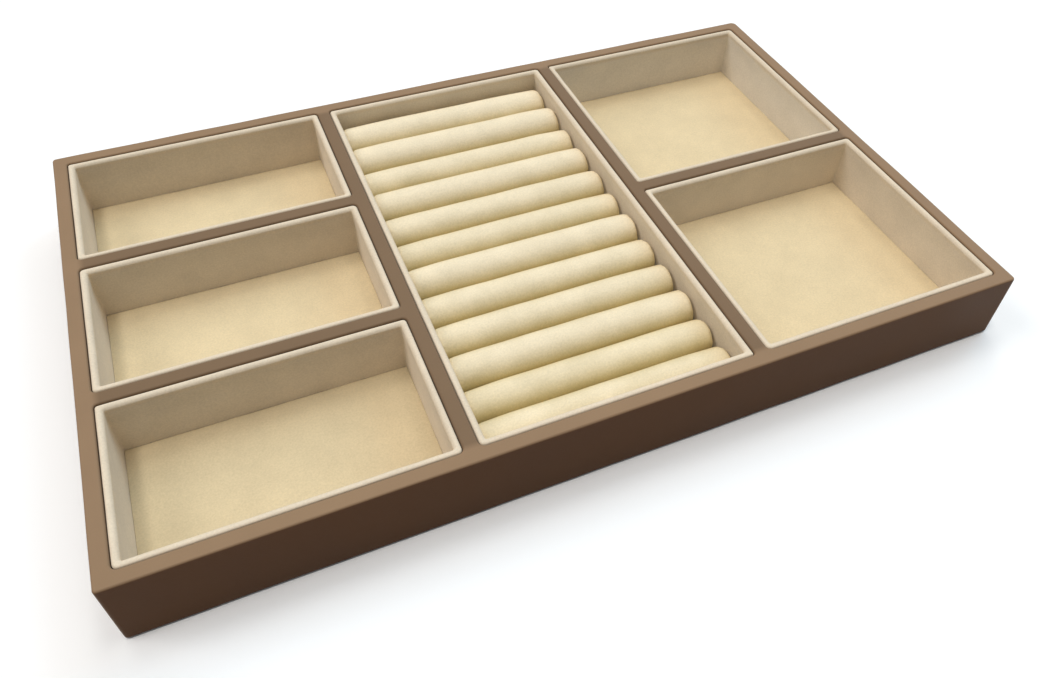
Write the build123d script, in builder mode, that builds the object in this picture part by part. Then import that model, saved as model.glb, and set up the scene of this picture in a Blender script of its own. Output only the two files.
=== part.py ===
from build123d import *
import os
from collections import namedtuple
from math import acos, cos, degrees, sin

# A jewelry tray: a leather-covered board frame with six bays, and in each bay a suede-lined insert.
# X runs along the front, Y to the back and Z up. The origin is the middle of the underside.

# Overall size of the tray
tray_length = 351.0
tray_depth = 218.0
tray_height = 32.0

# Boards of the frame
wall_board = 4.0
divider_board = 4.0
base_board = 2.7

# Leather round the frame, folded down into the bays and in under the boards
leather = 0.8
corner_round = 1.6
top_edge_round = 1.2
bottom_edge_round = 0.6
bay_edge_round = 0.7
turn_in = 12.0

# Felt-faced card under the frame
lining = 0.6
lining_inset = 2.0
lining_gap = 0.3
lining_corner_round = 1.0

# Layout of the bays: a long one for rings in the middle, and a column on each side, named from the front
ring_bay_length = 108.2
left_bay_names = ("front_left", "middle_left", "back_left")
right_bay_names = ("front_right", "back_right")
right_divider_shift = 0.7
insert_gap = 0.3

# Inserts: a card tray whose walls are wrapped in suede over the rim
card_wall = 1.2
card_floor = 1.2
suede = 0.5
rim_drop = 0.3
rim_round = 1.0
soft_corner_round = 1.9
tight_corner_round = 1.4
inner_corner_round = 0.6
skirt_lift = 0.5

# Suede-faced pads on the floors of the plain inserts
pad_thickness = 1.6
pad_gap = 0.3
pad_corner_round = 0.5
pad_edge_round = 0.5

# Ring rolls, side by side on a bed, each a foam core under a suede sleeve glued down at its flat
bed_thickness = 4.6
roll_end_gap = 0.4
roll_side_gap = 0.3
roll_gap = 0.3
roll_flat = 1.2
roll_taper = 0.4
roll_taper_length = 14.0
roll_end_round = 2.5
glue_line = 0.05

# Widths of the rolls from the back to the front, against their mean
roll_width_shares = (1.06, 1.09, 1.00, 1.05, 1.01, 0.97, 1.03, 0.98, 0.97, 0.99, 0.92, 0.93)

# Levels above the surface that the tray stands on
boards_bottom = lining + leather
base_top = boards_bottom + base_board
boards_top = tray_height - leather
rim_top = tray_height - rim_drop
card_top = rim_top - suede
floor_top = base_top + card_floor
bed_top = floor_top + bed_thickness

# Widths of the bands round and between the bays
margin = leather + wall_board + leather
rib = leather + divider_board + leather
insert_wall = suede + card_wall + suede

Bay = namedtuple("Bay", "name x y length depth corner")
Roll = namedtuple("Roll", "name y width")


def save(piece, name):
    """Labels a finished piece and writes it under its name."""
    piece.part.label = name
    export_step(piece.part, os.path.join("parts", name + ".step"))


def column(names, x, length, corner, divider_shift):
    """Bays of one column, from the front to the back, with even dividers moved to the front by a shift."""
    whole = tray_depth - 2 * margin
    depth = (whole - (len(names) - 1) * rib) / len(names)
    bays = []
    for place, name in enumerate(names):
        low = -whole / 2 + place * (depth + rib) - (divider_shift if place > 0 else 0)
        high = -whole / 2 + place * (depth + rib) + depth
        high -= divider_shift if place < len(names) - 1 else 0
        bays.append(Bay(name, x, (low + high) / 2, length, high - low, corner))
    return bays


def all_bays():
    """The six bays as rectangles with rounded corners, named for where they lie."""
    side_length = (tray_length - ring_bay_length) / 2 - margin - rib
    side_x = (ring_bay_length + side_length) / 2 + rib
    soft = soft_corner_round + insert_gap
    tight = tight_corner_round + insert_gap
    left = column(left_bay_names, -side_x, side_length, soft, 0)
    right = column(right_bay_names, side_x, side_length, tight, right_divider_shift)
    ring = column(("ring",), 0, ring_bay_length, soft, 0)
    return left, ring, right


def grown(bay, amount):
    """A bay's rectangle made larger all round, with its corners to match."""
    length, depth = bay.length + 2 * amount, bay.depth + 2 * amount
    return bay._replace(length=length, depth=depth, corner=bay.corner + amount)


def board(name, x, y, length, depth, bottom, top):
    """One straight board of the frame."""
    with BuildPart() as panel:
        with BuildSketch(Plane.XY.offset(bottom)):
            with Locations((x, y)):
                Rectangle(length, depth)
        extrude(amount=top - bottom)
    save(panel, name)


def outline(bay, mode=Mode.ADD):
    """A bay's rounded rectangle, drawn where it lies."""
    with Locations((bay.x, bay.y)):
        RectangleRounded(bay.length, bay.depth, bay.corner, mode=mode)


def frame_boards(left, right):
    """Base, four walls and the dividers between the bays."""
    skin_and_wall = leather + wall_board
    inner_length = tray_length - 2 * skin_and_wall
    inner_depth = tray_depth - 2 * skin_and_wall
    board("base_panel", 0, 0, inner_length, inner_depth, boards_bottom, base_top)

    wall_y = tray_depth / 2 - leather - wall_board / 2
    wall_x = tray_length / 2 - leather - wall_board / 2
    for name, side in (("front_wall_board", -1), ("back_wall_board", 1)):
        length = tray_length - 2 * leather
        board(name, 0, side * wall_y, length, wall_board, boards_bottom, boards_top)
    for name, side in (("left_wall_board", -1), ("right_wall_board", 1)):
        board(name, side * wall_x, 0, wall_board, inner_depth, boards_bottom, boards_top)

    long_x = (ring_bay_length + rib) / 2
    for name, side in (("left_long_divider", -1), ("right_long_divider", 1)):
        board(name, side * long_x, 0, divider_board, inner_depth, base_top, boards_top)

    for side, bays in (("left", left), ("right", right)):
        for place, (front, behind) in enumerate(zip(bays, bays[1:]), start=1):
            middle = (front.y + front.depth / 2 + behind.y - behind.depth / 2) / 2
            name = f"{side}_cross_divider_{place}"
            reach = front.length + 2 * leather
            board(name, front.x, middle, reach, divider_board, base_top, boards_top)


def leather_cover(bays):
    """One skin over the frame: the top with its windows, the sides, and the folds inside and below."""
    with BuildPart() as cover:
        with BuildSketch(Plane.XY.offset(lining)):
            RectangleRounded(tray_length, tray_depth, corner_round)
        extrude(amount=tray_height - lining)
        fillet(cover.faces().sort_by(Axis.Z)[-1].edges(), top_edge_round)
        fillet(cover.faces().sort_by(Axis.Z)[0].edges(), bottom_edge_round)

        # Room for the boards, and the opening that the turned-in edge leaves below
        with BuildSketch(Plane.XY.offset(boards_bottom)):
            Rectangle(tray_length - 2 * leather, tray_depth - 2 * leather)
        extrude(amount=boards_top - boards_bottom, mode=Mode.SUBTRACT)
        with BuildSketch(Plane.XY.offset(lining)):
            Rectangle(tray_length - 2 * turn_in, tray_depth - 2 * turn_in)
        extrude(amount=leather, mode=Mode.SUBTRACT)

        # Folds that line each bay down to the base
        with BuildSketch(Plane.XY.offset(base_top)):
            for bay in bays:
                with Locations((bay.x, bay.y)):
                    Rectangle(bay.length + 2 * leather, bay.depth + 2 * leather)
        extrude(amount=boards_top - base_top)
        with BuildSketch(Plane.XY.offset(base_top)):
            for bay in bays:
                outline(bay)
        extrude(amount=tray_height - base_top, mode=Mode.SUBTRACT)
        windows = cover.faces().sort_by(Axis.Z)[-1].inner_wires()
        fillet([edge for window in windows for edge in window.edges()], bay_edge_round)
    save(cover, "leather_cover")


def underside_lining():
    """Felt-faced card that the tray stands on, raised in the middle to fill the leather's opening."""
    filler_edge = turn_in + lining_gap
    with BuildPart() as sheet:
        with BuildSketch():
            length, depth = tray_length - 2 * lining_inset, tray_depth - 2 * lining_inset
            RectangleRounded(length, depth, lining_corner_round)
        extrude(amount=lining)
        with BuildSketch(Plane.XY.offset(lining)):
            Rectangle(tray_length - 2 * filler_edge, tray_depth - 2 * filler_edge)
        extrude(amount=leather)
    save(sheet, "underside_lining")


def card_tray(insert):
    """The stiff card tray of one insert."""
    outside = grown(insert, -suede)
    inside = grown(insert, -suede - card_wall)._replace(corner=inner_corner_round + suede)
    with BuildPart() as tray:
        with BuildSketch(Plane.XY.offset(base_top)):
            outline(outside)
        extrude(amount=card_top - base_top)
        with BuildSketch(Plane.XY.offset(floor_top)):
            outline(inside)
        extrude(amount=card_top - floor_top, mode=Mode.SUBTRACT)
    save(tray, insert.name + "_card_tray")


def suede_wrap(insert):
    """Suede over both faces of one insert's walls and round the rim."""
    skirt = base_top + skirt_lift
    card_outside = grown(insert, -suede)
    card_inside = grown(insert, -suede - card_wall)._replace(corner=inner_corner_round + suede)
    inside = grown(insert, -insert_wall)._replace(corner=inner_corner_round)
    with BuildPart() as wrap:
        with BuildSketch(Plane.XY.offset(skirt)):
            outline(insert)
            outline(inside, Mode.SUBTRACT)
        extrude(amount=rim_top - skirt)
        fillet(wrap.faces().sort_by(Axis.Z)[-1].edges(), rim_round)

        # Room for the card: its floor, then its walls
        with BuildSketch(Plane.XY.offset(skirt)):
            outline(card_outside)
        extrude(amount=floor_top - skirt, mode=Mode.SUBTRACT)
        with BuildSketch(Plane.XY.offset(floor_top)):
            outline(card_outside)
            outline(card_inside, Mode.SUBTRACT)
        extrude(amount=card_top - floor_top, mode=Mode.SUBTRACT)
    save(wrap, insert.name + "_suede_wrap")


def floor_pad(insert, name, thickness):
    """A pad that fills one insert's floor, with a softened upper edge."""
    inside = grown(insert, -insert_wall - pad_gap)._replace(corner=pad_corner_round)
    with BuildPart() as pad:
        with BuildSketch(Plane.XY.offset(floor_top)):
            outline(inside)
        extrude(amount=thickness)
        fillet(pad.faces().sort_by(Axis.Z)[-1].edges(), pad_edge_round)
    save(pad, name)


def ring_rolls(insert):
    """Places of the rolls from the back to the front, filling the insert between its walls."""
    room = insert.depth - 2 * insert_wall - 2 * roll_side_gap
    mean_width = room / sum(roll_width_shares)
    back = insert.y + room / 2
    rolls = []
    for number, share in enumerate(roll_width_shares, start=1):
        width = mean_width * share
        rolls.append(Roll(f"ring_roll_{number:02d}", back - width / 2, width))
        back -= width
    return rolls


def roll_section(plane, length, radius, end_round):
    """Half of a roll's long section: straight in the middle, then tapered to rounded ends."""
    end_radius, shoulder = radius - roll_taper, length / 2 - roll_taper_length
    with BuildSketch(plane) as half:
        with BuildLine():
            Polyline(
                (-length / 2, 0),
                (-length / 2, end_radius),
                (-shoulder, radius),
                (shoulder, radius),
                (length / 2, end_radius),
                (length / 2, 0),
                close=True,
            )
        make_face()
        upper = half.vertices().group_by(Axis.Y)[1].sort_by(Axis.X)
        fillet([upper[0], upper[-1]], end_round)
    return half.sketch


def ring_roll(insert, roll):
    """A foam core cut flat at the bed, and the suede sleeve round the rest of it."""
    length = insert.length - 2 * insert_wall - 2 * roll_end_gap
    radius = (roll.width - roll_gap) / 2
    height = bed_top - roll_flat + radius
    centre = (0, roll.y, height)
    along = Axis(centre, (1, 0, 0))

    core_skin = suede + glue_line
    upright = Plane(origin=centre, x_dir=(1, 0, 0), z_dir=(0, -1, 0))
    core_half = roll_section(
        upright, length - 2 * core_skin, radius - core_skin, roll_end_round - core_skin
    )
    with BuildPart() as core:
        revolve(core_half, axis=along)
        with BuildSketch(Plane.XY.offset(bed_top)):
            with Locations((0, roll.y)):
                Rectangle(length, roll.width)
        extrude(amount=2 * radius, mode=Mode.INTERSECT)
    save(core, roll.name + "_foam_core")

    # The sleeve's two long edges meet the bed on each side of the core's flat
    edge = acos((radius - roll_flat) / radius)
    start = Plane(origin=centre, x_dir=(1, 0, 0), z_dir=(0, cos(edge), sin(edge)))
    sleeve_half = roll_section(start, length, radius, roll_end_round)
    inside_half = roll_section(start, length - 2 * suede, radius - suede, roll_end_round - suede)
    with BuildPart() as sleeve:
        revolve(sleeve_half, axis=along, revolution_arc=360 - 2 * degrees(edge))
        revolve(inside_half, axis=along, mode=Mode.SUBTRACT)
    save(sleeve, roll.name + "_suede_sleeve")


os.makedirs("parts", exist_ok=True)
left_column, ring_column, right_column = all_bays()
frame_boards(left_column, right_column)
leather_cover(left_column + ring_column + right_column)
underside_lining()

for bay in left_column + right_column:
    insert = grown(bay, -insert_gap)
    card_tray(insert)
    suede_wrap(insert)
    floor_pad(insert, insert.name + "_floor_pad", pad_thickness)

ring_insert = grown(ring_column[0], -insert_gap)
card_tray(ring_insert)
suede_wrap(ring_insert)
floor_pad(ring_insert, "ring_roll_bed", bed_thickness)
for roll in ring_rolls(ring_insert):
    ring_roll(ring_insert, roll)
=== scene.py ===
"""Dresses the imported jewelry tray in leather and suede, and sets it in a pale studio."""

from math import ceil, hypot, pi, radians

import bmesh
import bpy
from bpy.props import FloatProperty, FloatVectorProperty, IntProperty, PointerProperty
from mathutils import Matrix, Vector, noise


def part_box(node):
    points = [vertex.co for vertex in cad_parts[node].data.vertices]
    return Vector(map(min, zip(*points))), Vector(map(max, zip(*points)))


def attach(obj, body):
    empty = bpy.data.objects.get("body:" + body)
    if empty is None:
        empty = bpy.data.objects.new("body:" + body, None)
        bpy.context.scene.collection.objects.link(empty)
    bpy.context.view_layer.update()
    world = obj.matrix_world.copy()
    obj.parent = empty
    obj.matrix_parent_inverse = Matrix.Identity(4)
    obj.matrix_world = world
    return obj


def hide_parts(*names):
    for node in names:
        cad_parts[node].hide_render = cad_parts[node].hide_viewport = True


bl_info = {
    "name": "Jewelry Tray",
    "version": (1, 0, 0),
    "blender": (4, 5, 0),
    "location": "3D View > Sidebar > Jewelry Tray",
    "description": "Covers the packed tray in leather and suede and sets it in a pale studio",
    "category": "Object",
}

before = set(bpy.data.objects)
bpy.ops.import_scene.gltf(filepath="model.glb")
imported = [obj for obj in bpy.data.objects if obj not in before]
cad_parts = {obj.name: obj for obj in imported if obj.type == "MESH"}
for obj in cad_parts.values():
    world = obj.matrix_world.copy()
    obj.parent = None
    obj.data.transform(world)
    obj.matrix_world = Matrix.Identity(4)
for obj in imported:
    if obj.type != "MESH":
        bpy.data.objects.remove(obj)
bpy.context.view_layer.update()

MM = 0.001
TINY = 1e-6

# The inserts and the rolls are named by their CAD nodes
PLAIN_INSERTS = sorted(n[: -len("_floor_pad")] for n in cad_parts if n.endswith("_floor_pad"))
INSERTS = PLAIN_INSERTS + ["ring"]
ROLLS = sorted(n[: -len("_suede_sleeve")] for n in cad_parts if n.endswith("_suede_sleeve"))
BOARD_ENDINGS = ("_board", "_divider", "_panel")
BOARDS = sorted(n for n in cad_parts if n.endswith(BOARD_ENDINGS) or "_cross_divider_" in n)

# Radii of the upright corners in mm, uneven as in the photo: front left, front right, back left, back right
TRAY_CORNERS = (1.3, 1.5, 1.5, 2.8)
INSERT_CORNERS = {
    "front_left": (1.9, 1.8, 1.1, 1.6),
    "middle_left": (1.6, 1.5, 1.6, 2.0),
    "back_left": (1.4, 1.6, 1.1, 1.6),
    "ring": (2.0, 0.9, 1.4, 1.7),
    "front_right": (2.1, 1.5, 0.9, 1.7),
    "back_right": (1.3, 1.4, 0.9, 1.9),
}

# Painted light and shade: how much paler or darker in red, green and blue the suede of an insert is painted
# than that of the others
WALL_PAINTED_LIGHT = {
    "back_right": (1.12, 1.17, 1.25),
    "front_right": (1.05, 1.05, 1.05),
    "ring": (1.03, 1.03, 1.03),
}
FLOOR_PAINTED_SHADE = {"front_left": (0.92, 0.92, 0.92)}

# Depths under a rim at which the suede's swell into the cup starts to shrink, and has gone
SWELL_TOP, SWELL_FOOT = 2 * MM, 9 * MM

# Height over the underside of a card tray at which the suede inside it ends, just over the card's floor
LINING_FOOT = 1.3 * MM

# Patterns in the materials: patches of laid nap, clouds of dye, and the fibres of board, card and felt
NAP_PATCH, DYE_CLOUD = 14 * MM, 30 * MM
BOARD_FIBRE, CARD_FIBRE, FELT_FIBRE = 0.8 * MM, 0.6 * MM, 0.5 * MM

# Heights of the bumps that the nap, the leather's grain and the fibres raise
NAP_RELIEF, GRAIN_RELIEF, FIBRE_RELIEF = 0.15 * MM, 0.08 * MM, 0.1 * MM

# Depths under the top at which a painted highlight on the suede has gone, and is full: at the rims and on the
# rolls
RIM_HIGHLIGHT, CREST_HIGHLIGHT = (3.6 * MM, 1.2 * MM), (8 * MM, 0.3 * MM)
HIGHLIGHT_STRAY = 2 * MM

# Painted shade darkens the leather's sides, the ribs are darker too, and the top of the outer band stays
# paler: depths at which the pale top has gone and is full, and how it fades inwards
PALE_TOP_DEPTHS, PALE_TOP_FADE = (0.8 * MM, 0.35 * MM), 2.5 * MM

# Spacing of the cuts that let a mesh follow a wave, and the size of the waves. On the rolls, only edges
# that are long are cut
LEATHER_CUTS, LEATHER_WAVE = (7 * MM, 7 * MM, 8 * MM), 24 * MM
LINING_CUTS, LINING_WAVE = 2.5 * MM, 9 * MM
PAD_CUTS, PAD_WAVE = 3 * MM, 16 * MM
ROLL_CUTS, ROLL_WAVE = 3.5 * MM, 18 * MM
ROLL_UNEVENNESS, LONG_EDGE = 0.22 * MM, 6 * MM

# Share of the waves that is left where leather turns down into a bay, and on the outside of a lining
BAY_SHARE, OUTSIDE_SHARE = 0.3, 0.5

# Seeds that set the waves of the linings, the pads and the rolls apart
LINING_SEED, PAD_SEED, ROLL_SEED = 11, 21, 31
SEED_STEPS = (7.3, 3.1, 5.7)

# Rolls: slimmer at the ends over a length, and short by a slack that the filling takes up
ROLL_TAPER, TAPER_LENGTH, ROLL_SLACK = 0.4 * MM, 14 * MM, 0.1 * MM

# Filling of the rolls, as cloth under pressure: height that is glued, mesh size, and furthest move
GLUED_HEIGHT, CLOTH_MESH, FILL_MOVE = 0.3 * MM, 1.6 * MM, 0.35 * MM
CLOTH_FRAMES, CLOTH_MASS, FILL_PRESSURE = 20, 0.001, 300

# Half the side of the ground in metres
GROUND_REACH = 9

# Wall of an insert, suede to suede, read off the frame: the bed of the rolls stands a gap inside it
PAD_GAP = 0.3 * MM
INSERT_WALL = (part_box("ring_roll_bed")[0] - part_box("ring_suede_wrap")[0]).x - PAD_GAP


def linear(hex_colour):
    """An sRGB hex colour as linear red, green and blue."""
    channels = [int(hex_colour[i : i + 2], 16) / 255 for i in (0, 2, 4)]
    return tuple(c / 12.92 if c <= 0.04045 else ((c + 0.055) / 1.055) ** 2.4 for c in channels)


# Settings

def length(name, description, millimetres):
    """A length that the panel shows in the scene's units."""
    return FloatProperty(name=name, description=description, default=millimetres * MM, min=0, unit="LENGTH")


def strength(name, description, default):
    """The strength of a light."""
    return FloatProperty(name=name, description=description, default=default, min=0)


def colour(name, description, hex_colour):
    """A colour that the panel shows as a swatch."""
    return FloatVectorProperty(
        name=name, description=description, subtype="COLOR", size=3, min=0, max=1, default=linear(hex_colour)
    )


class JewelryTrayLeather(bpy.types.PropertyGroup):
    """The leather over the boards."""

    colour: colour("Colour", "Colour of the leather", "957a5f")
    grain: length("Grain", "Width of one pebble of the embossed grain", 0.9)
    thickness: length("Thickness", "Thickness of the leather", 0.6)
    outer_edge: length("Outer Edge", "Radius of the fold round the top of the tray", 0.9)
    lower_edge: length("Lower Edge", "Radius of the fold under the tray", 0.6)
    bay_edge: length("Bay Edges", "Radius of the folds down into the bays", 0.8)
    bay_gap: length("Gap Round Inserts", "Gap between the leather and each insert", 0.3)
    turn_in: length("Turn In", "Width of the leather turned in under the boards", 12)
    waves: length("Unevenness", "How far the folded leather departs from straight", 0.16)


class JewelryTraySuede(bpy.types.PropertyGroup):
    """The suede on the inserts, their floors and the rolls."""

    wrap_colour: colour("Walls", "Colour of the suede on the walls", "e6d9c6")
    # The rims' colour is a painted highlight tint
    rim_highlight_colour: colour("Rims", "Colour of the suede where it turns over the rims", "e9d8bf")
    floor_colour: colour("Floors", "Colour of the suede on the floors", "e3cfa8")
    # The rolls' sides are darkened with painted shade, and their tops carry a painted highlight
    roll_colour: colour("Rolls", "Colour of the suede on the sides of the ring rolls", "d7c490")
    crest_highlight_colour: colour("Roll Crests", "Colour of the suede along the tops of the ring rolls", "f7e7c8")
    nap: length("Nap", "Width of the nap's grain, drawn coarser than its fibres so that it shows", 0.75)
    thickness: length("Thickness", "Thickness of the suede", 0.4)
    rim: length("Rim Inside", "Radius of the suede's turn down into the cup at each rim", 1.6)
    rim_outside: length("Rim Outside", "Radius of the suede's turn down the outside at each rim", 0.85)
    swell: length("Rim Swell", "How far the suede swells into the cup below each rim", 0.4)
    inner_corner: length("Inner Corners", "Radius where two lined walls meet", 0.6)
    pad_edge: length("Pad Edge", "Radius round the top of a floor pad", 0.2)
    pad_reach: length("Pad Reach", "How far the soft edge of a pad presses out towards the walls", 0.25)
    roll_end: length("Roll Ends", "Radius round the end of a roll", 1.7)
    waves: length("Unevenness", "How far the glued suede departs from flat", 0.12)


class JewelryTrayStudio(bpy.types.PropertyGroup):
    """The light and the ground that the tray stands on."""

    ground_colour: colour("Ground", "Colour of the ground under the tray", "ffffff")
    table_colour: colour("Table", "Colour of the light that the ground throws back on the tray", "8c5c34")
    ceiling_strength: strength("Ceiling", "Strength of the lamps overhead", 0.75)
    back_strength: strength("Back", "Strength of the light from behind", 0.5)
    side_strength: strength("Sides", "Strength of the light from each side", 0.7)
    sky_strength: strength("Sky", "Strength of the even light all round", 0.18)
    seed: IntProperty(name="Seed", description="Picks the pattern of the unevenness", default=3)


# Materials

# Settings of a mix node for two colours: one blends them and one multiplies them
BLEND = {"data_type": "RGBA"}
MULTIPLY = {"data_type": "RGBA", "blend_type": "MULTIPLY"}


def node(owner, kind, inputs=(), **settings):
    """Adds a node to a material or world, and sets or links its inputs by name or number."""
    made = owner.node_tree.nodes.new(kind)
    for name, value in settings.items():
        setattr(made, name, value)
    for name, value in dict(inputs).items():
        if isinstance(value, bpy.types.NodeSocket):
            owner.node_tree.links.new(value, made.inputs[name])
        else:
            made.inputs[name].default_value = value
    return made


def shades(base, *factors):
    """The base colour made lighter or darker in the same hue, one colour for each factor."""
    return [tuple(c * min(f, 1 / max(base)) for c in base) + (1,) for f in factors]


def new_material(name):
    """An empty node material with its output."""
    made = bpy.data.materials.new(name)
    made.use_nodes = True
    made.node_tree.nodes.clear()
    return made, made.node_tree.nodes.new("ShaderNodeOutputMaterial")


def suede_material(name, base, nap, highlight_colour=None, levels=(0, 1), sheen=0.35):
    """Microfibre suede, flocked and brushed: a matt nap in patches, with a painted highlight tint towards the
    top.
    """
    made, output = new_material(name)
    place = node(made, "ShaderNodeTexCoord").outputs["Object"]
    # Patches where a hand has laid the nap one way or the other
    laid = {"Vector": place, "Scale": 1 / NAP_PATCH, "Detail": 5.0, "Roughness": 0.6}
    brushed = node(made, "ShaderNodeTexNoise", laid).outputs["Fac"]
    dark, light = shades(base, 0.93, 1.19)
    patches = node(made, "ShaderNodeMix", {0: brushed, 6: dark, 7: light}, clamp_result=True, **BLEND)
    # Tufts of fibres, with shade between them
    tufted = {"Vector": place, "Scale": 1 / nap, "Detail": 2.0, "Roughness": 0.6}
    tufts = node(made, "ShaderNodeTexNoise", tufted).outputs["Fac"]
    between, tips = shades((1, 1, 1), 0.74, 1.0)
    fibres = node(made, "ShaderNodeMix", {0: tufts, 6: between, 7: tips}, **BLEND)
    mixed = node(made, "ShaderNodeMix", {0: 1.0, 6: patches.outputs[2], 7: fibres.outputs[2]}, **MULTIPLY)
    # Painted highlight: the colour turns towards the highlight colour near the top
    if highlight_colour:
        height = node(made, "ShaderNodeSeparateXYZ", {0: place}).outputs["Z"]
        # The painted highlight has no straight lower edge
        stray = node(made, "ShaderNodeMath", {0: brushed, 1: HIGHLIGHT_STRAY, 2: height}, operation="MULTIPLY_ADD")
        low, high = (level + HIGHLIGHT_STRAY / 2 for level in levels)
        band = {"Value": stray.outputs[0], "From Min": low, "From Max": high}
        highlight_mask = node(made, "ShaderNodeMapRange", band, interpolation_type="SMOOTHSTEP").outputs[0]
        paler = [c / b for c, b in zip(highlight_colour, base)]
        tint = node(made, "ShaderNodeMix", {0: highlight_mask, 6: (1, 1, 1, 1), 7: (*paler, 1)}, **BLEND)
        mixed = node(made, "ShaderNodeMix", {0: 1.0, 6: mixed.outputs[2], 7: tint.outputs[2]}, **MULTIPLY)
    relief = node(made, "ShaderNodeBump", {"Strength": 0.35, "Distance": NAP_RELIEF, "Height": tufts})
    surface = node(
        made,
        "ShaderNodeBsdfPrincipled",
        {
            "Base Color": mixed.outputs[2],
            "Roughness": 0.95,
            "Specular IOR Level": 0.15,
            "Sheen Weight": sheen,
            "Sheen Roughness": 0.45,
            "Sheen Tint": shades(base, 1.1)[0],
            "Normal": relief.outputs[0],
        },
    )
    made.node_tree.links.new(surface.outputs[0], output.inputs["Surface"])
    return made


def leather_material(name, base, grain, box, band):
    """Grained leather, embossed with fine pebbles and finished satin, with painted shade on its sides and
    darker ribs round the paler top of the outer band.
    """
    made, output = new_material(name)
    place = node(made, "ShaderNodeTexCoord").outputs["Object"]
    wander = node(made, "ShaderNodeTexNoise", {"Vector": place, "Scale": 1 / (2 * grain), "Detail": 1.0})
    bend = {0: wander.outputs["Color"], 1: (grain / 2,) * 3}
    bent = node(made, "ShaderNodeVectorMath", bend, operation="MULTIPLY")
    moved = node(made, "ShaderNodeVectorMath", {0: place, 1: bent.outputs[0]}, operation="ADD")
    pebble = {"Vector": moved.outputs[0], "Scale": 1 / grain, "Smoothness": 0.6}
    pebbles = node(made, "ShaderNodeTexVoronoi", pebble, feature="SMOOTH_F1")
    # Cloudy tone from the dye
    clouds = {"Vector": place, "Scale": 1 / DYE_CLOUD, "Detail": 4.0, "Roughness": 0.6}
    cloudy = node(made, "ShaderNodeTexNoise", clouds).outputs["Fac"]
    dark, light = shades(base, 0.9, 1.1)
    dyed = node(made, "ShaderNodeMix", {0: cloudy, 6: dark, 7: light}, **BLEND)
    # The sides carry painted shade and the ribs are darker too, so only the top of the outer band keeps the
    # paler tone
    low, high = box
    split = node(made, "ShaderNodeSeparateXYZ", {0: place}).outputs
    inwards = []
    for axis, half in (("X", (high.x - low.x) / 2), ("Y", (high.y - low.y) / 2)):
        out = node(made, "ShaderNodeMath", {0: split[axis]}, operation="ABSOLUTE")
        inwards.append(node(made, "ShaderNodeMath", {0: half, 1: out.outputs[0]}, operation="SUBTRACT"))
    both = {0: inwards[0].outputs[0], 1: inwards[1].outputs[0]}
    nearest = node(made, "ShaderNodeMath", both, operation="MINIMUM")
    band_edge = {"From Min": band, "From Max": band + PALE_TOP_FADE, "To Min": 1.0, "To Max": 0.0}
    on_band = node(made, "ShaderNodeMapRange", {"Value": nearest.outputs[0], **band_edge})
    top_edge = {"From Min": high.z - PALE_TOP_DEPTHS[0], "From Max": high.z - PALE_TOP_DEPTHS[1]}
    on_top = node(made, "ShaderNodeMapRange", {"Value": split["Z"], **top_edge})
    pale_top_mask = node(made, "ShaderNodeMath", {0: on_band.outputs[0], 1: on_top.outputs[0]}, operation="MULTIPLY")
    # The darker tone is painted shade on the sides, and darkens the ribs too
    darker_sides_and_ribs, pale = shades((1, 1, 1), 0.68, 0.98)
    band_side_rib_tone = node(made, "ShaderNodeMix", {0: pale_top_mask.outputs[0], 6: darker_sides_and_ribs, 7: pale}, **BLEND)
    toned = node(made, "ShaderNodeMix", {0: 1.0, 6: dyed.outputs[2], 7: band_side_rib_tone.outputs[2]}, **MULTIPLY)
    # Satin, a little duller where the dye is paler
    satin = {"Value": cloudy, "From Min": 0.3, "From Max": 0.7, "To Min": 0.4, "To Max": 0.48}
    gloss = node(made, "ShaderNodeMapRange", satin)
    pressed = {"Strength": 0.25, "Distance": GRAIN_RELIEF, "Height": pebbles.outputs["Distance"]}
    relief = node(made, "ShaderNodeBump", pressed, invert=True)
    surface = node(
        made,
        "ShaderNodeBsdfPrincipled",
        {
            "Base Color": toned.outputs[2],
            "Roughness": gloss.outputs[0],
            "Specular IOR Level": 0.05,
            "Sheen Weight": 0.05,
            "Sheen Roughness": 0.5,
            "Sheen Tint": (1.0, 0.96, 0.92, 1),
            "Normal": relief.outputs[0],
        },
    )
    made.node_tree.links.new(surface.outputs[0], output.inputs["Surface"])
    return made


def pressed_material(name, base, grain, contrast, roughness):
    """Pressed fibre sheet, such as fibreboard, greyboard or felt: flecks that lie all ways, with no shine."""
    made, output = new_material(name)
    place = node(made, "ShaderNodeTexCoord").outputs["Object"]
    fibres = {"Vector": place, "Scale": 1 / grain, "Detail": 5.0, "Roughness": 0.7}
    flecks = node(made, "ShaderNodeTexNoise", fibres).outputs["Fac"]
    dark, light = shades(base, 1 - contrast, 1 + contrast)
    mixed = node(made, "ShaderNodeMix", {0: flecks, 6: dark, 7: light}, **BLEND)
    relief = node(made, "ShaderNodeBump", {"Strength": 0.3, "Distance": FIBRE_RELIEF, "Height": flecks})
    surface = node(
        made,
        "ShaderNodeBsdfPrincipled",
        {
            "Base Color": mixed.outputs[2],
            "Roughness": roughness,
            "Specular IOR Level": 0.2,
            "Normal": relief.outputs[0],
        },
    )
    made.node_tree.links.new(surface.outputs[0], output.inputs["Surface"])
    return made


def backdrop_rays(owner):
    """1 for the rays that show the backdrop: the camera's own, and those seen in gloss or through glass."""
    rays = node(owner, "ShaderNodeLightPath").outputs
    direct = {0: rays["Is Camera Ray"], 1: rays["Is Glossy Ray"]}
    seen = node(owner, "ShaderNodeMath", direct, operation="MAXIMUM")
    through = {0: seen.outputs[0], 1: rays["Is Transmission Ray"]}
    return node(owner, "ShaderNodeMath", through, operation="MAXIMUM").outputs[0]


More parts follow.
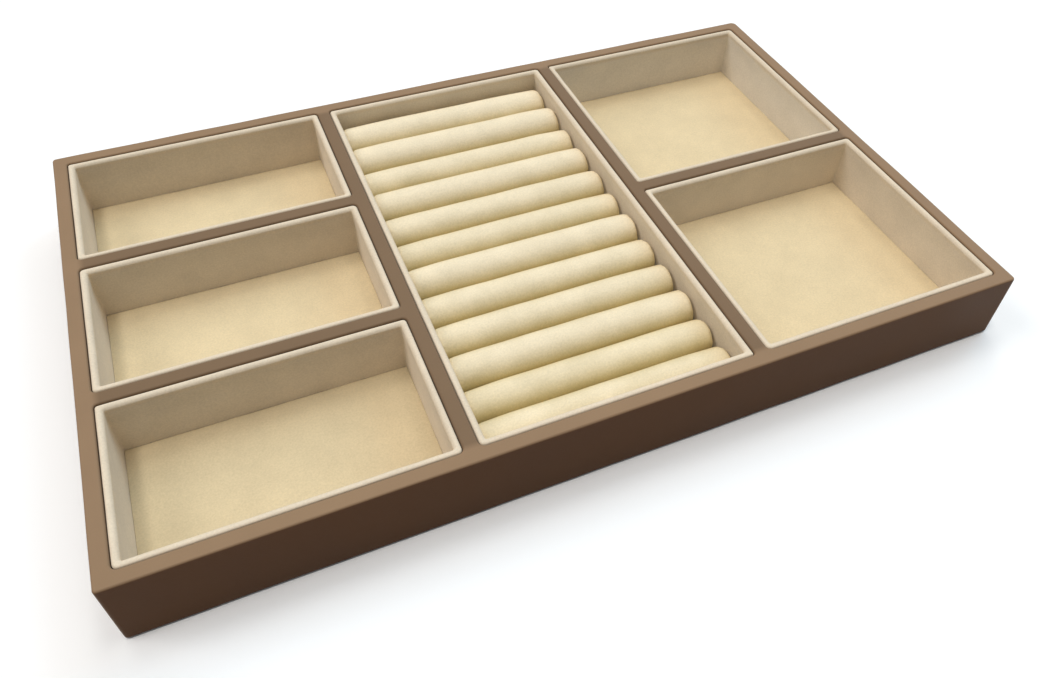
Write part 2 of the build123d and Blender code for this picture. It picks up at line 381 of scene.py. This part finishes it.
def ground_material(name, base, table):
    """Matt paper wherever it is seen. The light that it throws back on the tray is a wooden table's."""
    made, output = new_material(name)
    shown = backdrop_rays(made)
    paper = node(made, "ShaderNodeMix", {0: shown, 6: (*table, 1), 7: (*base, 1)}, **BLEND)
    surface = node(made, "ShaderNodeBsdfDiffuse", {"Color": paper.outputs[2]})
    made.node_tree.links.new(surface.outputs[0], output.inputs["Surface"])
    return made


# Modelling

def grown(box, amount):
    """A box made larger all round in plan."""
    low, high = box
    reach = Vector((amount, amount, 0))
    return low - reach, high + reach


def cut_across(bm, axis, place):
    """Cuts the whole mesh at one place along an axis."""
    across = Vector((0, 0, 0))
    across[axis] = 1
    geometry = bm.verts[:] + bm.edges[:] + bm.faces[:]
    bmesh.ops.bisect_plane(bm, geom=geometry, dist=TINY, plane_co=across * place, plane_no=across)


def cut_evenly(bm, axis, low, high, spacing):
    """Cuts the mesh into strips of about one width, so that it can follow a gentle wave."""
    strips = ceil((high - low) / spacing)
    for strip in range(1, strips):
        cut_across(bm, axis, low + (high - low) * strip / strips)


def panel_with_windows(box, windows):
    """A flat panel at the top of a box, with square windows. Its cuts run along the windows' middles."""
    low, high = box
    bm = bmesh.new()
    bmesh.ops.create_grid(bm, x_segments=1, y_segments=1, size=0.5)
    bmesh.ops.scale(bm, vec=(high.x - low.x, high.y - low.y, 1), verts=bm.verts)
    bmesh.ops.translate(bm, vec=((low.x + high.x) / 2, (low.y + high.y) / 2, high.z), verts=bm.verts)
    borders = [{round(corner[axis], 7) for window in windows for corner in window} for axis in (0, 1)]
    middles = [{round((window[0][axis] + window[1][axis]) / 2, 7) for window in windows} for axis in (0, 1)]
    for axis in (0, 1):
        for place in sorted(borders[axis] | middles[axis]):
            cut_across(bm, axis, place)
    for window_low, window_high in windows:
        inside = [
            face
            for face in bm.faces
            if all(window_low[a] < face.calc_center_median()[a] < window_high[a] for a in (0, 1))
        ]
        bmesh.ops.delete(bm, geom=inside, context="FACES")
    spare = [
        edge
        for edge in bm.edges
        if not edge.is_boundary
        and any(
            abs(edge.verts[0].co[a] - edge.verts[1].co[a]) < TINY
            and any(abs(edge.verts[0].co[a] - place) < TINY for place in borders[a])
            and not any(abs(edge.verts[0].co[a] - place) < TINY for place in middles[a])
            for a in (0, 1)
        )
    ]
    bmesh.ops.dissolve_edges(bm, edges=spare, use_verts=False)
    return bm


def within(co, box):
    """Whether a point lies inside a box in plan, or on its border."""
    low, high = box
    return all(low[a] - TINY < co[a] < high[a] + TINY for a in (0, 1))


def on_border(co, box, reach=TINY):
    """Whether a point lies on the upright sides of a box."""
    low, high = box
    return any(abs(co[a] - side[a]) < reach for a in (0, 1) for side in (low, high))


def border_edges(bm, box, level, reach=TINY):
    """The edges along the sides of a box at one level."""
    return [
        edge
        for edge in bm.edges
        if all(abs(v.co.z - level) < TINY and on_border(v.co, box, reach) for v in edge.verts)
    ]


def fold_down(bm, edges, level):
    """Folds a panel down at an open edge, to a level, and returns the new open edges."""
    made = bmesh.ops.extrude_edge_only(bm, edges=edges)["geom"]
    for vert in (part for part in made if isinstance(part, bmesh.types.BMVert)):
        vert.co.z = level
    return [part for part in made if isinstance(part, bmesh.types.BMEdge) and part.is_boundary]


def round_edges(bm, edges, radius, segments):
    """Rounds edges to a radius."""
    bmesh.ops.bevel(
        bm,
        geom=edges,
        offset=radius,
        offset_type="OFFSET",
        segments=segments,
        profile=0.5,
        affect="EDGES",
        material=-1,
        clamp_overlap=False,
    )


def round_corners(bm, box, radii, segments):
    """Rounds the upright edges at a box's corners: front left, front right, back left and back right."""
    low, high = box
    corners = [(x, y) for y in (low.y, high.y) for x in (low.x, high.x)]
    for (x, y), radius in zip(corners, radii):
        upright = [
            edge
            for edge in bm.edges
            if all(hypot(v.co.x - x, v.co.y - y) < TINY for v in edge.verts)
            and abs(edge.verts[0].co.z - edge.verts[1].co.z) > TINY
        ]
        round_edges(bm, upright, radius, segments)


def rim_edges(bm, level):
    """The edges at one level where a flat face turns down into a wall."""
    return [
        edge
        for edge in bm.edges
        if len(edge.link_faces) == 2
        and all(abs(v.co.z - level) < TINY for v in edge.verts)
        and sorted(abs(face.normal.z) > 0.5 for face in edge.link_faces) == [False, True]
    ]


def face_outwards(bm):
    """Turns every face of an open skin outwards, which is up on its flat top."""
    bmesh.ops.recalc_face_normals(bm, faces=bm.faces)
    top = max(bm.faces, key=lambda face: face.calc_center_median().z)
    if top.normal.z < 0:
        bmesh.ops.reverse_faces(bm, faces=bm.faces)


def make_uneven(bm, amount, size, seed, held=lambda co: 1):
    """Moves every vertex a little along its normal, in smooth waves of about one size."""
    bm.normal_update()
    shift = Vector([seed * step for step in SEED_STEPS])
    moves = [v.normal * amount * held(v.co) * noise.noise(v.co / size + shift) for v in bm.verts]
    for vert, move in zip(bm.verts, moves):
        vert.co += move


def draw_back(bm, inside, top, foot, amount):
    """Widens a cup from nothing at one level to an amount all round at a lower one, in a smooth curve."""
    low, high = inside
    middle, half = (low + high) / 2, (high - low) / 2
    for vert in (v for v in bm.verts if within(v.co, inside)):
        drop = min(max((top - vert.co.z) / (top - foot), 0), 1)
        ease = amount * drop * drop * (3 - 2 * drop)
        for a in (0, 1):
            vert.co[a] += ease * (vert.co[a] - middle[a]) / half[a]


def finish_piece(bm, name, body, material, slot, *nodes):
    """Makes a mesh a piece that rides on a body in place of its CAD nodes."""
    mesh = bpy.data.meshes.new(name)
    bm.to_mesh(mesh)
    bm.free()
    mesh.shade_smooth()
    mesh.materials.append(material)
    piece = bpy.data.objects.new(name, mesh)
    bpy.context.scene.collection.objects.link(piece)
    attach(piece, body)
    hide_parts(*nodes)
    return piece


def give_thickness(piece, thickness):
    """Gives a skin its thickness on the inside, and keeps its flats looking flat."""
    solid = piece.modifiers.new("Thickness", "SOLIDIFY")
    solid.thickness = thickness
    solid.offset = -1
    even = piece.modifiers.new("Flat Shading on Flats", "WEIGHTED_NORMAL")
    even.keep_sharp = True


def apply_modifier(piece, name):
    """Makes a modifier's result the piece's own mesh."""
    with bpy.context.temp_override(object=piece, active_object=piece, selected_objects=[piece]):
        bpy.ops.object.modifier_apply(modifier=name)


def puff_up(pieces, glued_level):
    """Fills padded pieces as cloth under pressure. The glued part is held, and no point moves far."""
    scene = bpy.context.scene
    starts = []
    for piece in pieces:
        even = piece.modifiers.new("Even Mesh", "REMESH")
        even.mode = "VOXEL"
        even.voxel_size = CLOTH_MESH
        even.use_smooth_shade = True
        apply_modifier(piece, even.name)
        starts.append([vert.co.copy() for vert in piece.data.vertices])
        glued = piece.vertex_groups.new(name="glued")
        glued.add([v.index for v in piece.data.vertices if v.co.z < glued_level], 1.0, "REPLACE")
        cloth = piece.modifiers.new("Suede", "CLOTH")
        cloth.point_cache.frame_start = 1
        cloth.point_cache.frame_end = CLOTH_FRAMES
        cloth.collision_settings.use_collision = False
        cloth.settings.vertex_group_mass = glued.name
        cloth.settings.effector_weights.gravity = 0
        cloth.settings.mass = CLOTH_MASS
        cloth.settings.use_pressure = True
        cloth.settings.uniform_pressure_force = FILL_PRESSURE
    for number in range(1, CLOTH_FRAMES + 1):
        scene.frame_set(number)
    for piece, places in zip(pieces, starts):
        apply_modifier(piece, "Suede")
        for vert, place in zip(piece.data.vertices, places):
            move = vert.co - place
            vert.co = place + move * min(1, FILL_MOVE / max(move.length, TINY))
        piece.modifiers.new("Smooth", "SUBSURF").render_levels = 1
    scene.frame_set(1)


def paint_nodes(names, material):
    """Gives CAD nodes a material."""
    for name in names:
        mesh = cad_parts[name].data
        mesh.materials.clear()
        mesh.materials.append(material)


# Operators

class JEWELRYTRAY_OT_boards(bpy.types.Operator):
    """Give the boards, the card trays and the underside their bare materials"""

    bl_idname = "jewelrytray.boards"
    bl_label = "Boards and Cards"

    def execute(self, context):
        # Fibreboard is pressed from wood fibre and glue: brown, flecked and dull
        paint_nodes(BOARDS, pressed_material("Pressed Fibreboard", linear("a0825f"), BOARD_FIBRE, 0.2, 0.8))
        # Greyboard is rolled from recycled pulp: grey with short dark fibres
        cards = [f"{name}_card_tray" for name in INSERTS]
        paint_nodes(cards, pressed_material("Rolled Greyboard", linear("a39e97"), CARD_FIBRE, 0.15, 0.85))
        # Felt is needled wool: dark and soft, with no weave
        felt = pressed_material("Needled Felt", linear("4b3b2f"), FELT_FIBRE, 0.3, 1.0)
        paint_nodes(["underside_lining"], felt)
        return {"FINISHED"}


class JEWELRYTRAY_OT_leather_cover(bpy.types.Operator):
    """Fold one leather skin over the boards, down into the bays and in under the base"""

    bl_idname = "jewelrytray.leather_cover"
    bl_label = "Leather Cover"

    def execute(self, context):
        sizes = context.scene.jewelry_tray_leather
        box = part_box("leather_cover")
        low, high = box
        windows = {name: grown(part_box(f"{name}_suede_wrap"), sizes.bay_gap) for name in INSERTS}
        bm = panel_with_windows(box, list(windows.values()))

        outer = border_edges(bm, box, high.z)
        inner = [edge for edge in bm.edges if edge.is_boundary and edge not in outer]
        fold_down(bm, inner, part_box("base_panel")[1].z)
        fold_down(bm, outer, low.z)
        round_corners(bm, box, [radius * MM for radius in TRAY_CORNERS], segments=5)
        for name, window in windows.items():
            radii = [radius * MM + sizes.bay_gap for radius in INSERT_CORNERS[name]]
            round_corners(bm, window, radii, segments=6)

        # The edge turned in under the boards
        lower = [e for e in bm.edges if e.is_boundary and all(abs(v.co.z - low.z) < TINY for v in e.verts)]
        under = bmesh.ops.extrude_edge_only(bm, edges=lower)["geom"]
        inwards = [1 - 2 * sizes.turn_in / (high - low)[axis] for axis in (0, 1)]
        turned = [part for part in under if isinstance(part, bmesh.types.BMVert)]
        bmesh.ops.scale(bm, vec=(*inwards, 1), verts=turned)
        face_outwards(bm)

        reach = max(TRAY_CORNERS) * MM + TINY
        top = rim_edges(bm, high.z)
        outside = [e for e in top if all(on_border(v.co, box, reach) for v in e.verts)]
        round_edges(bm, outside, sizes.outer_edge, segments=5)
        round_edges(bm, [e for e in rim_edges(bm, high.z) if e not in outside], sizes.bay_edge, segments=4)
        round_edges(bm, rim_edges(bm, low.z), sizes.lower_edge, segments=3)

        for axis, spacing in enumerate(LEATHER_CUTS):
            cut_evenly(bm, axis, low[axis], high[axis], spacing)
        inside = [grown(window, sizes.bay_edge) for window in windows.values()]
        make_uneven(
            bm,
            sizes.waves,
            LEATHER_WAVE,
            context.scene.jewelry_tray_studio.seed,
            lambda co: BAY_SHARE if any(within(co, window) for window in inside) else 1,
        )

        band = (windows["front_left"][0] - low).x
        leather = leather_material("Embossed Grained Leather", tuple(sizes.colour), sizes.grain, box, band)
        piece = finish_piece(bm, "leather_skin", "frame", leather, "taupe_leather", "leather_cover")
        give_thickness(piece, sizes.thickness)
        return {"FINISHED"}


class JEWELRYTRAY_OT_suede_linings(bpy.types.Operator):
    """Turn suede over the rim of each insert, down both faces of its walls"""

    bl_idname = "jewelrytray.suede_linings"
    bl_label = "Suede Linings"

    def execute(self, context):
        sizes = context.scene.jewelry_tray_suede
        for number, name in enumerate(INSERTS):
            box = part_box(f"{name}_suede_wrap")
            low, high = box
            # Painted light and shade make some inserts' walls paler than the others
            shade = [c * f for c, f in zip(sizes.wrap_colour, WALL_PAINTED_LIGHT.get(name, (1, 1, 1)))]
            finish = f"Brushed Suede on the {name.replace('_', ' ').title()} Walls"
            # The rims carry a painted highlight
            levels = [high.z - depth for depth in RIM_HIGHLIGHT]
            suede = suede_material(finish, shade, sizes.nap, tuple(sizes.rim_highlight_colour), levels)
            inside = grown(box, -INSERT_WALL - sizes.swell)
            bm = panel_with_windows(box, [inside])
            outer = border_edges(bm, box, high.z)
            inner = [edge for edge in bm.edges if edge.is_boundary and edge not in outer]
            fold_down(bm, outer, low.z)
            fold_down(bm, inner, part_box(f"{name}_card_tray")[0].z + LINING_FOOT)
            round_corners(bm, box, [radius * MM for radius in INSERT_CORNERS[name]], segments=6)
            round_corners(bm, inside, [sizes.inner_corner] * 4, segments=3)
            face_outwards(bm)
            reach = max(INSERT_CORNERS[name]) * MM + TINY
            top = rim_edges(bm, high.z)
            outside = [e for e in top if all(on_border(v.co, box, reach) for v in e.verts)]
            round_edges(bm, outside, sizes.rim_outside, segments=5)
            round_edges(bm, [e for e in rim_edges(bm, high.z) if e not in outside], sizes.rim, segments=5)
            cut_evenly(bm, 0, low.x, high.x, LINING_CUTS)
            cut_evenly(bm, 1, low.y, high.y, LINING_CUTS)
            cut_evenly(bm, 2, low.z, high.z - sizes.rim, LINING_CUTS)
            draw_back(bm, inside, high.z - SWELL_TOP, high.z - SWELL_FOOT, sizes.swell)
            cavity = grown(inside, sizes.swell + sizes.thickness)
            make_uneven(
                bm,
                sizes.waves,
                LINING_WAVE,
                number + LINING_SEED,
                lambda co: 1 if within(co, cavity) else OUTSIDE_SHARE,
            )
            body = f"{name}_insert"
            piece = finish_piece(bm, f"{name}_suede_lining", body, suede, "beige_suede", f"{name}_suede_wrap")
            give_thickness(piece, sizes.thickness)
        return {"FINISHED"}


class JEWELRYTRAY_OT_floor_pads(bpy.types.Operator):
    """Lay a suede-faced pad on the floor of each insert, and the bed under the rolls"""

    bl_idname = "jewelrytray.floor_pads"
    bl_label = "Floor Pads"

    def execute(self, context):
        sizes = context.scene.jewelry_tray_suede
        pads = [(f"{name}_floor_pad", name) for name in PLAIN_INSERTS] + [("ring_roll_bed", "ring")]
        for number, (pad, name) in enumerate(pads):
            # Painted shade darkens the front left insert's floor
            shade = [c * f for c, f in zip(sizes.floor_colour, FLOOR_PAINTED_SHADE.get(name, (1, 1, 1)))]
            finish = f"Brushed Suede on the {name.replace('_', ' ').title()} Floor"
            suede = suede_material(finish, shade, sizes.nap)
            low, high = box = grown(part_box(pad), sizes.pad_reach)
            size = high - low
            bm = bmesh.new()
            across, along = (ceil(size[a] / PAD_CUTS) for a in (0, 1))
            bmesh.ops.create_grid(bm, x_segments=across, y_segments=along, size=0.5)
            bmesh.ops.scale(bm, vec=(size.x, size.y, 1), verts=bm.verts)
            bmesh.ops.translate(bm, vec=((low.x + high.x) / 2, (low.y + high.y) / 2, high.z), verts=bm.verts)
            foot = fold_down(bm, border_edges(bm, box, high.z), low.z)
            bmesh.ops.edgeloop_fill(bm, edges=foot)
            round_corners(bm, box, [sizes.pad_edge] * 4, segments=2)
            bmesh.ops.recalc_face_normals(bm, faces=bm.faces)
            round_edges(bm, rim_edges(bm, high.z), sizes.pad_edge, segments=3)
            make_uneven(bm, sizes.waves, PAD_WAVE, number + PAD_SEED, lambda co: (co.z - low.z) / size.z)
            piece = finish_piece(bm, f"{name}_suede_floor", f"{name}_insert", suede, "beige_suede", pad)
        return {"FINISHED"}


class JEWELRYTRAY_OT_ring_rolls(bpy.types.Operator):
    """Make the padded rolls that hold rings, each glued down along its flat"""

    bl_idname = "jewelrytray.ring_rolls"
    bl_label = "Ring Rolls"

    def execute(self, context):
        sizes = context.scene.jewelry_tray_suede
        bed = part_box("ring_roll_bed")[1].z
        top = max(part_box(f"{name}_suede_sleeve")[1].z for name in ROLLS)
        # Painted shade on the sides of the rolls and a painted highlight along their tops
        sides, crest_highlights = tuple(sizes.roll_colour), tuple(sizes.crest_highlight_colour)
        levels = [top - depth for depth in CREST_HIGHLIGHT]
        suede = suede_material("Brushed Suede on the Rolls", sides, sizes.nap, crest_highlights, levels, sheen=0.6)
        rolls = []
        for number, name in enumerate(ROLLS):
            low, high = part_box(f"{name}_suede_sleeve")
            slack = Vector((ROLL_SLACK, 0, 0))
            low, high = low + slack, high - slack
            radius = (high.y - low.y) / 2
            axis = Vector((0, (low.y + high.y) / 2, high.z - radius))
            bm = bmesh.new()
            # Half the outline of a roll, from the middle of one end to the middle of the other
            outline = [(low.x, 0), (low.x, radius - ROLL_TAPER), (low.x + TAPER_LENGTH, radius)]
            outline += [(-x, r) for x, r in reversed(outline)]
            verts = [bm.verts.new(axis + Vector((x, 0, r))) for x, r in outline]
            for pair in zip(verts, verts[1:]):
                bm.edges.new(pair)
            bmesh.ops.bevel(
                bm,
                geom=[verts[1], verts[4]],
                offset=sizes.roll_end,
                segments=6,
                profile=0.5,
                affect="VERTICES",
                material=-1,
            )
            for edge in [e for e in bm.edges if e.calc_length() > LONG_EDGE]:
                cuts = ceil(edge.calc_length() / ROLL_CUTS) - 1
                bmesh.ops.subdivide_edges(bm, edges=[edge], cuts=cuts)
            bmesh.ops.spin(
                bm,
                geom=bm.verts[:] + bm.edges[:],
                cent=axis,
                axis=(1, 0, 0),
                angle=2 * pi,
                steps=40,
                use_merge=True,
            )
            bmesh.ops.remove_doubles(bm, verts=bm.verts, dist=10 * TINY)
            bmesh.ops.recalc_face_normals(bm, faces=bm.faces)
            make_uneven(bm, ROLL_UNEVENNESS, ROLL_WAVE, number + ROLL_SEED)
            geometry = bm.verts[:] + bm.edges[:] + bm.faces[:]
            flat = bmesh.ops.bisect_plane(
                bm, geom=geometry, dist=TINY, plane_co=(0, 0, bed), plane_no=(0, 0, 1), clear_inner=True
            )["geom_cut"]
            bmesh.ops.edgeloop_fill(bm, edges=[part for part in flat if isinstance(part, bmesh.types.BMEdge)])
            nodes = (f"{name}_suede_sleeve", f"{name}_foam_core")
            piece = finish_piece(bm, f"{name}_suede", "ring_insert", suede, "beige_suede", *nodes)
            rolls.append(piece)
        puff_up(rolls, bed + GLUED_HEIGHT)
        return {"FINISHED"}


class JEWELRYTRAY_OT_studio(bpy.types.Operator):
    """Set the pale ground, the soft light from behind and the camera"""

    bl_idname = "jewelrytray.studio"
    bl_label = "Studio"

    def execute(self, context):
        scene, settings = context.scene, context.scene.jewelry_tray_studio
        scene.view_settings.view_transform = "Standard"

        bm = bmesh.new()
        bmesh.ops.create_grid(bm, x_segments=1, y_segments=1, size=GROUND_REACH)
        mesh = bpy.data.meshes.new("ground")
        bm.to_mesh(mesh)
        bm.free()
        colours = tuple(settings.ground_colour), tuple(settings.table_colour)
        mesh.materials.append(ground_material("Matt Paper", *colours))
        ground = bpy.data.objects.new("ground", mesh)
        scene.collection.objects.link(ground)

        # Soft lamps: strength, direction to the lamp, spread in degrees, and colour
        ceiling, sides = settings.ceiling_strength, settings.side_strength
        warm, pale, daylight = (1.0, 0.98, 0.95), (1.0, 0.98, 0.96), (0.52, 0.79, 1.0)
        lamps = [
            ("ceiling_middle", 0.35 * ceiling, (0.02, -0.06, 1), 10, warm),
            ("ceiling_left", 1.05 * ceiling, (-0.17, -0.04, 1), 10, warm),
            ("ceiling_back", 0.45 * ceiling, (-0.1, 0.3, 1), 16, warm),
            ("ceiling_right", 0.45 * ceiling, (0.24, 0.02, 1), 12, warm),
            ("back_light", settings.back_strength, (0.3, 0.62, 0.72), 25, pale),
            ("left_light", 1.1 * sides, (-0.65, 0.25, 0.75), 25, pale),
            ("right_light", 1.15 * sides, (0.7, 0.3, 0.65), 30, daylight),
        ]
        for name, strength, direction, spread, tint in lamps:
            light = bpy.data.lights.new(name, "SUN")
            light.energy = strength
            light.angle = radians(spread)
            light.color = tint
            lamp = bpy.data.objects.new(name, light)
            lamp.rotation_euler = Vector(direction).to_track_quat("Z", "Y").to_euler()
            scene.collection.objects.link(lamp)

        world = bpy.data.worlds.new("Studio")
        scene.world = world
        world.use_nodes = True
        world.node_tree.nodes.clear()
        shown = backdrop_rays(world)
        sky = {"Color": (0.94, 0.97, 1.0, 1), "Strength": settings.sky_strength}
        dim = node(world, "ShaderNodeBackground", sky)
        white = node(world, "ShaderNodeBackground", {"Color": (1, 1, 1, 1), "Strength": 1.0})
        both = node(world, "ShaderNodeMixShader", {0: shown, 1: dim.outputs[0], 2: white.outputs[0]})
        node(world, "ShaderNodeOutputWorld", {"Surface": both.outputs[0]})

        # The camera's place, turn and lens, solved from the corners of the frame and of the rims
        place = Vector((-0.10837, -0.26448, 0.28025))
        right = Vector((0.91574403, -0.40009890, 0.03652034))
        down = Vector((-0.26738179, -0.67477119, -0.68788867))
        forward = Vector((0.29986638, 0.62016507, -0.72489685))
        data = bpy.data.cameras.new("camera")
        data.sensor_width = 36
        data.lens = 30.286
        data.shift_x = -0.02177
        data.shift_y = -0.03374
        data.clip_start = 0.01
        camera = bpy.data.objects.new("camera", data)
        turn = Matrix((right, -down, -forward)).transposed().to_4x4()
        camera.matrix_world = Matrix.Translation(place) @ turn
        scene.collection.objects.link(camera)
        scene.camera = camera
        return {"FINISHED"}


OPERATORS = (
    JEWELRYTRAY_OT_boards,
    JEWELRYTRAY_OT_leather_cover,
    JEWELRYTRAY_OT_suede_linings,
    JEWELRYTRAY_OT_floor_pads,
    JEWELRYTRAY_OT_ring_rolls,
    JEWELRYTRAY_OT_studio,
)
SETTINGS = {
    "jewelry_tray_leather": JewelryTrayLeather,
    "jewelry_tray_suede": JewelryTraySuede,
    "jewelry_tray_studio": JewelryTrayStudio,
}


class JEWELRYTRAY_PT_panel(bpy.types.Panel):
    """Settings of the tray, and a button for each of its pieces"""

    bl_idname = "JEWELRYTRAY_PT_panel"
    bl_label = "Jewelry Tray"
    bl_space_type = "VIEW_3D"
    bl_region_type = "UI"
    bl_category = "Jewelry Tray"

    def draw(self, context):
        for name, group in SETTINGS.items():
            box = self.layout.box()
            for prop in group.__annotations__:
                box.prop(getattr(context.scene, name), prop)
        for operator in OPERATORS:
            self.layout.operator(operator.bl_idname)


def register():
    """Registers the settings, the operators and the panel."""
    for cls in (*SETTINGS.values(), *OPERATORS, JEWELRYTRAY_PT_panel):
        bpy.utils.register_class(cls)
    for name, group in SETTINGS.items():
        setattr(bpy.types.Scene, name, PointerProperty(type=group))


def unregister():
    """Takes them away again."""
    for name in SETTINGS:
        delattr(bpy.types.Scene, name)
    for cls in (JEWELRYTRAY_PT_panel, *OPERATORS[::-1], *SETTINGS.values()):
        bpy.utils.unregister_class(cls)


def main():
    """Builds every piece in order."""
    register()
    bpy.ops.jewelrytray.boards()
    bpy.ops.jewelrytray.leather_cover()
    bpy.ops.jewelrytray.suede_linings()
    bpy.ops.jewelrytray.floor_pads()
    bpy.ops.jewelrytray.ring_rolls()
    bpy.ops.jewelrytray.studio()


if __name__ == "__main__":
    main()
